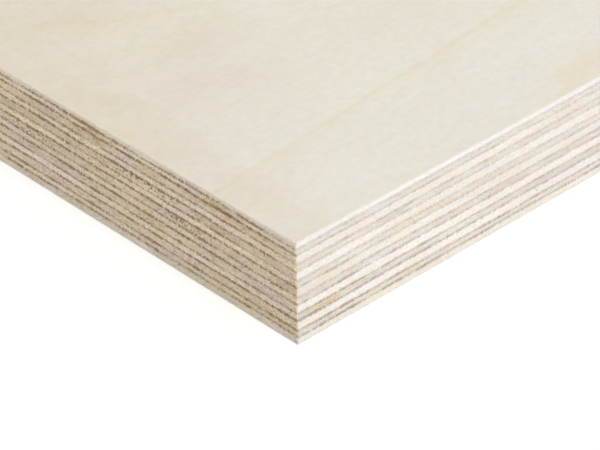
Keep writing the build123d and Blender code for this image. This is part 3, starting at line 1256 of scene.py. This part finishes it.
def grooveDepth(tree, spot, seam, depth, there):
    uneven = noise(tree, seamPlace(tree, spot, seam), **cutFigure["grooves"])
    share = ramp(tree, uneven, *cutFigure["grooveLevels"], spot.leastGroove, spot.mostGroove)
    return product(tree, depth, share, there)


def sawnBack(tree, given, spot):
    # how far the sawn surface stands back from the sheet's outline: grooves at the seams, torn wood between
    atLower = ramp(tree, spot.row, 0.0, rowStep, 1.0, 0.0)
    atUpper = ramp(tree, spot.row, 1.0 - rowStep, 1.0)
    endFrom = calc(tree, "SUBTRACT", spot.halfLength, cutFigure["sideWeld"] * mm)
    onEnd = calc(tree, "GREATER_THAN", calc(tree, "ABSOLUTE", spot.x), endFrom)
    tear = ramp(tree, onEnd, 0.0, 1.0, given["Long Tear"], given["End Tear"])
    tearLevel = calc(tree, "MULTIPLY_ADD", spot.row, cutFigure["nextRow"], given["Lower Seam"])
    tears = patches(tree, seamPlace(tree, spot, tearLevel), **cutFigure["tears"])
    inWood = calc(tree, "SUBTRACT", 1.0, calc(tree, "MAXIMUM", atLower, atUpper))
    return total(
        tree,
        grooveDepth(tree, spot, given["Lower Seam"], given["Lower Groove"], atLower),
        grooveDepth(tree, spot, given["Upper Seam"], given["Upper Groove"], atUpper),
        product(tree, inWood, tear, tears),
    )


def heldIn(tree, value, half, back):
    limit = calc(tree, "SUBTRACT", half, back)
    return calc(tree, "MAXIMUM", calc(tree, "MINIMUM", value, limit), product(tree, limit, -1.0))


def broadFace(tree, edge, spot, height, atTop):
    # fills the first or the last row of the edge
    if atTop:
        rimPoints = calc(tree, "GREATER_THAN", spot.row, 1.0 - rowSlack)
    else:
        rimPoints = calc(tree, "LESS_THAN", spot.row, rowSlack)
    rim = put(tree, "GeometryNodeMeshToCurve", {"Mesh": edge, "Selection": rimPoints}).outputs[0]
    face = put(tree, "GeometryNodeFillCurve", {"Curve": rim}, mode="TRIANGLES").outputs[0]
    face = moved(tree, face, joined(tree, spot.x, spot.y, height))
    if not atTop:
        face = put(tree, "GeometryNodeFlipFaces", {"Mesh": face}).outputs[0]
    return stored(tree, face, "across", float(atTop))


def makeVeneerTree():
    takes = {
        "Length": ("Float", 1.0), "Width": ("Float", 1.0),
        "Underside": ("Float", 0.0), "Thickness": ("Float", 0.001),
        "Long Columns": ("Int", 100), "End Columns": ("Int", 100), "Corner Fineness": ("Float", 0.5),
        "Lower Seam": ("Float", 0.0), "Upper Seam": ("Float", 1.0),
        "Lower Wave": ("Float", 0.0), "Upper Wave": ("Float", 0.0), "Long Calm": ("Float", 1.0),
        "Lower Groove": ("Float", 0.0), "Upper Groove": ("Float", 0.0),
        "Lower Lip": ("Float", 0.0), "Upper Lip": ("Float", 0.0),
        "End Tear": ("Float", 0.0), "Long Tear": ("Float", 0.0),
        "Edge Material": ("Material", None),
        "Lower Material": ("Material", None), "Upper Material": ("Material", None),
    }
    tree, given, result = newGroup("veneerShape", "GeometryNodeTree", takes, {"Geometry": ("Geometry", None)})
    halfLength, halfWidth = (product(tree, given[side], 0.5) for side in ("Length", "Width"))
    ring = welded(tree, sideStrips(tree, given, halfLength, halfWidth), cutFigure["sideWeld"])
    ring = storeRows(tree, given, ring)

    spot = SimpleNamespace(halfLength=halfLength, across=named(tree, "across"), row=named(tree, "row"))
    spot.x, spot.y = split(tree, position(tree))[:2]
    fromEnd = calc(tree, "SUBTRACT", halfLength, calc(tree, "ABSOLUTE", spot.x))
    fromSide = calc(tree, "SUBTRACT", halfWidth, calc(tree, "ABSOLUTE", spot.y))
    fromCorner = calc(tree, "MAXIMUM", fromEnd, fromSide)
    spot.calmer = ramp(tree, fromEnd, 0.0, cutFigure["calmBy"] * mm, 1.0, given["Long Calm"])
    evenTo, unevenFrom = cutFigure["evenTo"] * mm, cutFigure["unevenFrom"] * mm
    spot.leastGroove, spot.mostGroove = (
        ramp(tree, fromCorner, evenTo, unevenFrom, 1.0, share) for share in cutFigure["grooveShares"]
    )

    underside = given["Underside"]
    upside = calc(tree, "ADD", underside, given["Thickness"])
    lowZ = seamHeight(tree, spot, given["Lower Seam"], given["Lower Wave"], underside)
    highZ = seamHeight(tree, spot, given["Upper Seam"], given["Upper Wave"], upside)
    z = calc(tree, "MULTIPLY_ADD", calc(tree, "SUBTRACT", highZ, lowZ), spot.across, lowZ)
    back = sawnBack(tree, given, spot)
    place = joined(tree, heldIn(tree, spot.x, halfLength, back), heldIn(tree, spot.y, halfWidth, back), z)
    edge = moved(tree, ring, place)
    faces = [broadFace(tree, edge, spot, height, atTop) for height, atTop in ((lowZ, False), (highZ, True))]
    edge = painted(tree, edge, given["Edge Material"])
    closed = welded(tree, [edge, *faces], cutFigure["faceWeld"])
    closed = put(tree, "GeometryNodeRemoveAttribute", {"Geometry": closed, "Name": "row"}).outputs[0]
    done = put(tree, "GeometryNodeRealizeInstances", {"Geometry": closed}).outputs[0]
    facing = split(tree, tree.nodes.new("GeometryNodeInputNormal").outputs[0])[2]
    downwards = calc(tree, "LESS_THAN", facing, -levelNormal)
    upwards = calc(tree, "GREATER_THAN", facing, levelNormal)
    done = painted(tree, done, given["Lower Material"], downwards)
    done = painted(tree, done, given["Upper Material"], upwards)
    tree.links.new(done, result["Geometry"])
    return tree


veneerTree = makeVeneerTree()
print("veneer shape tree made")

bakeLayout = {
    "edgeRows": 64,  # rows that an inner veneer's edge is wrapped into on its map
    "outerEdgeRows": 25,  # the same on the face and the back, which need room for their broad face
    "innerEdgeShare": 0.985,  # share of the map's height that those rows get
    "outerEdgeShare": 0.4,
    "rowGap": 0.1,  # share of a row left free below and above its edge
    "margin": 0.015,
    "shownAbove": 0.01,  # how far above the rows a broad face that shows begins, and where it ends
    "shownTo": 0.98,
    "hiddenFrom": 0.99,  # where one that doesn't show begins, and how high it is
    "hiddenHigh": 0.005,
}


def readAll(items, name, width=1, kind=np.float32):
    values = np.empty(len(items) * width, kind)
    items.foreach_get(name, values)
    return values.reshape(-1, width) if width > 1 else values


def layBakeMap(mesh, shown):
    # shown is 1 where the upper broad face shows, -1 where the lower one does, 0 where neither does
    start, corners = (readAll(mesh.polygons, name, kind=np.int32) for name in ("loop_start", "loop_total"))
    normal = readAll(mesh.polygons, "normal", width=3)
    vertex = readAll(mesh.loops, "vertex_index", kind=np.int32)
    place = readAll(mesh.vertices, "co", width=3)[vertex]
    across = readAll(mesh.attributes["across"].data, "value")[vertex]
    x, y = (place - np.array(nearCorner)).T[:2]
    polygon = np.repeat(np.arange(len(corners)), corners)

    # the edge's distance round the sheet, wrapped into rows: front, right end, back, left end
    onEnd = np.abs(normal[:, 0]) > np.abs(normal[:, 1])
    farSide = np.where(onEnd, normal[:, 0] < 0, normal[:, 1] > 0)
    side = np.where(onEnd, 1, 0) + np.where(farSide, 2, 0)
    rounds = np.stack([
        x,
        sheetLength + y,
        2 * sheetLength + sheetWidth - x,
        2 * (sheetLength + sheetWidth) - y,
    ])
    along = rounds[side[polygon], np.arange(len(polygon))]
    rows = bakeLayout["outerEdgeRows" if shown else "edgeRows"]
    edgeShare = bakeLayout["outerEdgeShare" if shown else "innerEdgeShare"]
    margin, gap = bakeLayout["margin"], bakeLayout["rowGap"]
    rowLength = 2 * (sheetLength + sheetWidth) / rows
    middle = np.add.reduceat(along, start) / corners
    row = np.clip(np.floor(middle / rowLength), 0, rows - 1)[polygon]
    u = margin + (along / rowLength - row) * (1 - 2 * margin)
    v = (row + gap + (1 - 2 * gap) * across) / rows * edgeShare

    broad = (np.abs(normal[:, 2]) > levelNormal)[polygon]
    shownHere = broad & (np.sign(normal[:, 2])[polygon] == shown)
    shownFrom = edgeShare + bakeLayout["shownAbove"]
    u[broad] = margin + x[broad] / sheetLength * (1 - 2 * margin)
    v[broad] = bakeLayout["hiddenFrom"] + bakeLayout["hiddenHigh"] * y[broad] / sheetWidth
    v[shownHere] = shownFrom + y[shownHere] / sheetWidth * (bakeLayout["shownTo"] - shownFrom)
    mesh.uv_layers.new(name="OFBake").uv.foreach_set("vector", np.stack([u, v], 1).astype(np.float32).ravel())


def seamLevel(seam):
    # m above the underside, for seams counted from 0 at the underside to the top face
    if seam == 0:
        return 0.0
    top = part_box(plyNames[seam - 1])[1].z - sheetLow.z
    return top + veneerCut["middleLift"] * mm * math.sin(math.pi * top / sheetThickness) ** 2


def veneerInputs(number, node):
    low, high = seamLevel(number), seamLevel(number + 1)
    first, last = number == 0, number == seamCount
    return {
        "Length": sheetLength, "Width": sheetWidth, "Underside": low, "Thickness": high - low,
        "Long Columns": veneerCut["longColumns"], "End Columns": veneerCut["endColumns"],
        "Corner Fineness": veneerCut["cornerFineness"],
        "Lower Seam": float(number), "Upper Seam": float(number + 1),
        "Lower Wave": 0.0 if first else veneerCut["seamWave"] * mm,
        "Upper Wave": 0.0 if last else veneerCut["seamWave"] * mm,
        "Long Calm": veneerCut["longCalm"],
        "Lower Groove": veneerCut["arris" if first else "seamGroove"] * mm,
        "Upper Groove": veneerCut["arris" if last else "seamGroove"] * mm,
        "Lower Lip": veneerCut["arris" if first else "seamLip"] * mm,
        "Upper Lip": veneerCut["arris" if last else "seamLip"] * mm,
        "End Tear": veneerCut["endTear"] * mm, "Long Tear": veneerCut["longTear"] * mm,
        "Edge Material": makeEdgeWood(node, number, low / mm, high / mm),
        "Lower Material": backBirch if first else gluedFace,
        "Upper Material": faceBirch if last else gluedFace,
    }


def makeVeneer(number, node):
    values = veneerInputs(number, node)
    carrier = bpy.data.objects.new("carrier", bpy.data.meshes.new("carrier"))
    bpy.context.scene.collection.objects.link(carrier)
    modifier = carrier.modifiers.new("shape", "NODES")
    modifier.node_group = veneerTree
    for item in veneerTree.interface.items_tree:
        if item.in_out == "INPUT":
            modifier[item.identifier] = values[item.name]
    evaluated = carrier.evaluated_get(bpy.context.evaluated_depsgraph_get())
    mesh = bpy.data.meshes.new_from_object(evaluated)
    bpy.data.objects.remove(carrier)
    mesh.name = node + "Look"
    layBakeMap(mesh, -1 if number == 0 else 1 if number == seamCount else 0)
    piece = bpy.data.objects.new(node + "_look", mesh)
    bpy.context.scene.collection.objects.link(piece)
    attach(piece, "root")
    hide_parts(node)
    return piece


veneers = [makeVeneer(number, node) for number, node in enumerate(plyNames)]
print("veneers made:", sum(len(piece.data.polygons) for piece in veneers), "faces")
